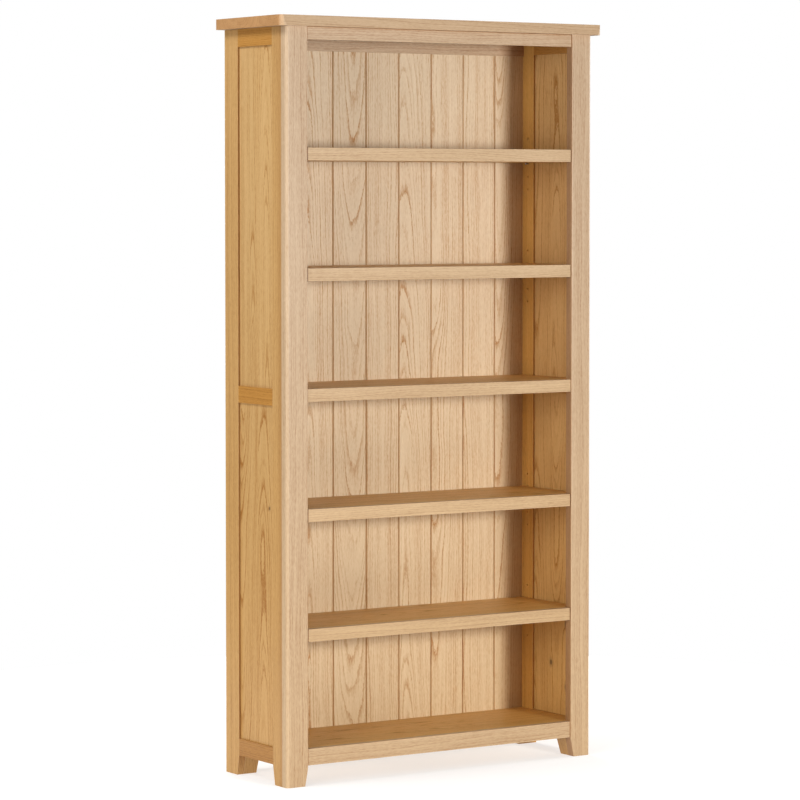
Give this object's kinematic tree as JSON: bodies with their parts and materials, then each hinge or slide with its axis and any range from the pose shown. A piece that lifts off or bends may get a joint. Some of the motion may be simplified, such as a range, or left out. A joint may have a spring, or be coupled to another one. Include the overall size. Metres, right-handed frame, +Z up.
{
  "type": "tall open bookcase",
  "caption": "Tall narrow oak bookcase with frame-and-panel sides, a matchboard back, fixed bottom and middle shelves, and adjustable shelves that rest on pins.",
  "frame": {"origin": "On the floor, under the centre of the top board's outline, which is the part's bounding box.", "axes": "+Z up, +X to the viewer's right when facing the front, -Y toward the viewer (the open front)."},
  "size_m": [0.924, 0.296, 1.8],
  "materials": {
    "oak_top": "clear oiled oak, satin",
    "oak_front": "clear oiled oak, satin",
    "oak_side": "clear oiled oak, satin",
    "oak_panel": "clear oiled oak, satin",
    "oak_shelf": "clear oiled oak, satin",
    "oak_back": "clear oiled oak, satin",
    "dowel_wood": "bare beech",
    "pin_steel": "nickel-plated steel",
    "screw_steel": "zinc-plated steel"
  },
  "bodies": {
    "carcass": {"top_board": "oak_top", "left_face_post": "oak_front", "right_face_post": "oak_front", "left_front_stile": "oak_side", "right_front_stile": "oak_side", "left_rear_stile": "oak_side", "right_rear_stile": "oak_side", "left_top_side_rail": "oak_side", "right_top_side_rail": "oak_side", "left_middle_side_rail": "oak_side", "right_middle_side_rail": "oak_side", "left_bottom_side_rail": "oak_side", "right_bottom_side_rail": "oak_side", "left_upper_panel": "oak_panel", "right_upper_panel": "oak_panel", "left_lower_panel": "oak_panel", "right_lower_panel": "oak_panel", "front_left_foot_block": "oak_side", "front_right_foot_block": "oak_side", "rear_left_foot_block": "oak_side", "rear_right_foot_block": "oak_side", "front_top_rail": "oak_front", "rear_top_rail": "oak_front", "front_bottom_rail": "oak_front", "rear_bottom_rail": "oak_front", "bottom_shelf": "oak_shelf", "middle_shelf": "oak_shelf", "middle_shelf_edge": "oak_shelf", "back_board_1": "oak_back", "back_board_2": "oak_back", "back_board_3": "oak_back", "back_board_4": "oak_back", "back_board_5": "oak_back", "back_board_6": "oak_back", "back_board_7": "oak_back", "back_board_8": "oak_back", "back_board_9": "oak_back", "shelf_1_pins": "pin_steel", "shelf_2_pins": "pin_steel", "shelf_3_pins": "pin_steel", "shelf_4_pins": "pin_steel", "top_dowels": "dowel_wood", "fixed_shelf_dowels": "dowel_wood", "back_screws": "screw_steel"},
    "adjustable_shelf_1": {"shelf_1": "oak_shelf", "shelf_1_edge": "oak_shelf"},
    "adjustable_shelf_2": {"shelf_2": "oak_shelf", "shelf_2_edge": "oak_shelf"},
    "adjustable_shelf_3": {"shelf_3": "oak_shelf", "shelf_3_edge": "oak_shelf"},
    "adjustable_shelf_4": {"shelf_4": "oak_shelf", "shelf_4_edge": "oak_shelf"}
  },
  "joints": [
    {"name": "shelf_1_lift", "type": "slide", "parent": "carcass", "child": "adjustable_shelf_1", "axis": [0, 0, 1], "range_m": [0, 0.064]},
    {"name": "shelf_2_lift", "type": "slide", "parent": "carcass", "child": "adjustable_shelf_2", "axis": [0, 0, 1], "range_m": [0, 0.064]},
    {"name": "shelf_3_lift", "type": "slide", "parent": "carcass", "child": "adjustable_shelf_3", "axis": [0, 0, 1], "range_m": [0, 0.064]},
    {"name": "shelf_4_lift", "type": "slide", "parent": "carcass", "child": "adjustable_shelf_4", "axis": [0, 0, 1], "range_m": [0, 0.064]}
  ]
}
